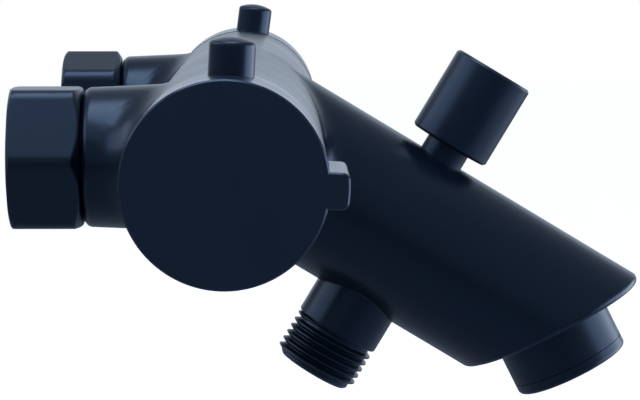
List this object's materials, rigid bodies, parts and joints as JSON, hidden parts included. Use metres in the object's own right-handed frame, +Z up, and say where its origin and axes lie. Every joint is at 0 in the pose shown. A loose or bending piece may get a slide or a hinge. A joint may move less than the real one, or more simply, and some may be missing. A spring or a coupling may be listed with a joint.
{
  "type": "bath mixer",
  "caption": "Wall-mounted matt black bath mixer: round bar with a turning handle at each end, wall arms with hexagon nuts, sloping spout with lift diverter, aerator and hose outlet.",
  "frame": {"origin": "midway between the two inlets, in the plane of the swivel nuts' wall faces", "axes": "+X away from the wall, +Y along the bar towards the temperature handle, which is on the right of someone facing the wall, +Z up"},
  "size_m": [0.1463, 0.29, 0.0929],
  "materials": {
    "casting_paint": "matte black paint over cast brass",
    "handle_paint": "matte black paint over turned brass",
    "nut_paint": "matte black paint over brass, flats slightly smoother",
    "knob_paint": "matte black paint over turned brass",
    "button_plastic": "matte black plastic",
    "raw_brass": "turned, uncoated",
    "valve_plastic": "dark grey moulded",
    "white_plastic": "white moulded",
    "spring_steel": "drawn stainless wire",
    "screw_steel": "stainless, plain",
    "valve_ceramic": "lapped, satin",
    "seal_rubber": "smooth black",
    "element_copper": "copper cup, plain",
    "insert_plastic": "light grey moulded"
  },
  "bodies": {
    "body": {"mixer_body": "casting_paint", "hot_inlet_tail": "raw_brass", "hot_filter_washer": "seal_rubber", "hot_check_valve": "white_plastic", "cold_inlet_tail": "raw_brass", "cold_filter_washer": "seal_rubber", "cold_check_valve": "white_plastic", "flow_lock_nut": "raw_brass", "flow_stop_ring": "white_plastic", "flow_valve_shell": "raw_brass", "flow_fixed_disc": "valve_ceramic", "flow_valve_seals": "seal_rubber", "temperature_lock_nut": "raw_brass", "temperature_stop_ring": "white_plastic", "temperature_valve_sleeve": "valve_plastic", "temperature_bonnet": "raw_brass", "temperature_valve_seals": "seal_rubber", "regulator_spring": "spring_steel", "diverter_gland": "knob_paint", "diverter_seal": "seal_rubber", "shower_outlet": "knob_paint", "shower_outlet_seal": "seal_rubber", "aerator_housing": "knob_paint", "aerator_cap": "knob_paint", "aerator_insert": "insert_plastic", "aerator_seal": "seal_rubber"},
    "flow_grip": {"flow_handle": "handle_paint", "flow_end_cap": "handle_paint", "flow_drive_insert": "white_plastic", "flow_handle_screw": "screw_steel", "flow_spindle": "raw_brass", "flow_moving_disc": "valve_ceramic", "flow_button_spring": "spring_steel"},
    "flow_button": {"flow_stop_button": "button_plastic"},
    "temperature_grip": {"temperature_handle": "handle_paint", "temperature_end_cap": "handle_paint", "temperature_drive_insert": "white_plastic", "temperature_handle_screw": "screw_steel", "temperature_spindle": "raw_brass", "temperature_button_spring": "spring_steel"},
    "temperature_button": {"temperature_stop_button": "button_plastic"},
    "regulator": {"regulator_slide": "valve_plastic", "wax_element": "element_copper", "adjusting_sleeve": "raw_brass"},
    "diverter": {"diverter_knob": "knob_paint", "diverter_spindle": "raw_brass", "diverter_washer": "seal_rubber"},
    "hot_nut": {"hot_swivel_nut": "nut_paint"},
    "cold_nut": {"cold_swivel_nut": "nut_paint"}
  },
  "joints": [
    {"name": "flow_turn", "type": "hinge", "parent": "body", "child": "flow_grip", "pos_m": [0.0478, -0.13, 0], "axis": [0, 1, 0], "range_deg": [0, 90]},
    {"name": "temperature_turn", "type": "hinge", "parent": "body", "child": "temperature_grip", "pos_m": [0.0478, 0.13, 0], "axis": [0, 1, 0], "range_deg": [-100, 150]},
    {"name": "flow_button_press", "type": "slide", "parent": "flow_grip", "child": "flow_button", "axis": [-0.0523, 0, -0.9986], "range_m": [0, 0.0018], "stiffness_N_per_m": 800, "springref_m": -0.0015, "deforming": ["flow_button_spring"]},
    {"name": "temperature_button_press", "type": "slide", "parent": "temperature_grip", "child": "temperature_button", "axis": [-0.1305, 0, -0.9914], "range_m": [0, 0.0018], "stiffness_N_per_m": 800, "springref_m": -0.0015, "deforming": ["temperature_button_spring"]},
    {"name": "regulator_travel", "type": "slide", "parent": "body", "child": "regulator", "axis": [0, 1, 0], "range_m": [-0.0006, 0.0009], "deforming": ["regulator_spring"]},
    {"name": "knob_lift", "type": "slide", "parent": "body", "child": "diverter", "axis": [0.515, 0, 0.8572], "range_m": [0, 0.008]},
    {"name": "hot_nut_spin", "type": "hinge", "parent": "body", "child": "hot_nut", "pos_m": [0.00785, -0.075, 0], "axis": [1, 0, 0], "continuous": true},
    {"name": "cold_nut_spin", "type": "hinge", "parent": "body", "child": "cold_nut", "pos_m": [0.00785, 0.075, 0], "axis": [1, 0, 0], "continuous": true}
  ],
  "couplings": [
    {"joint": "regulator_travel", "follows": "temperature_turn", "m_per_rad": 0.00031831}
  ]
}
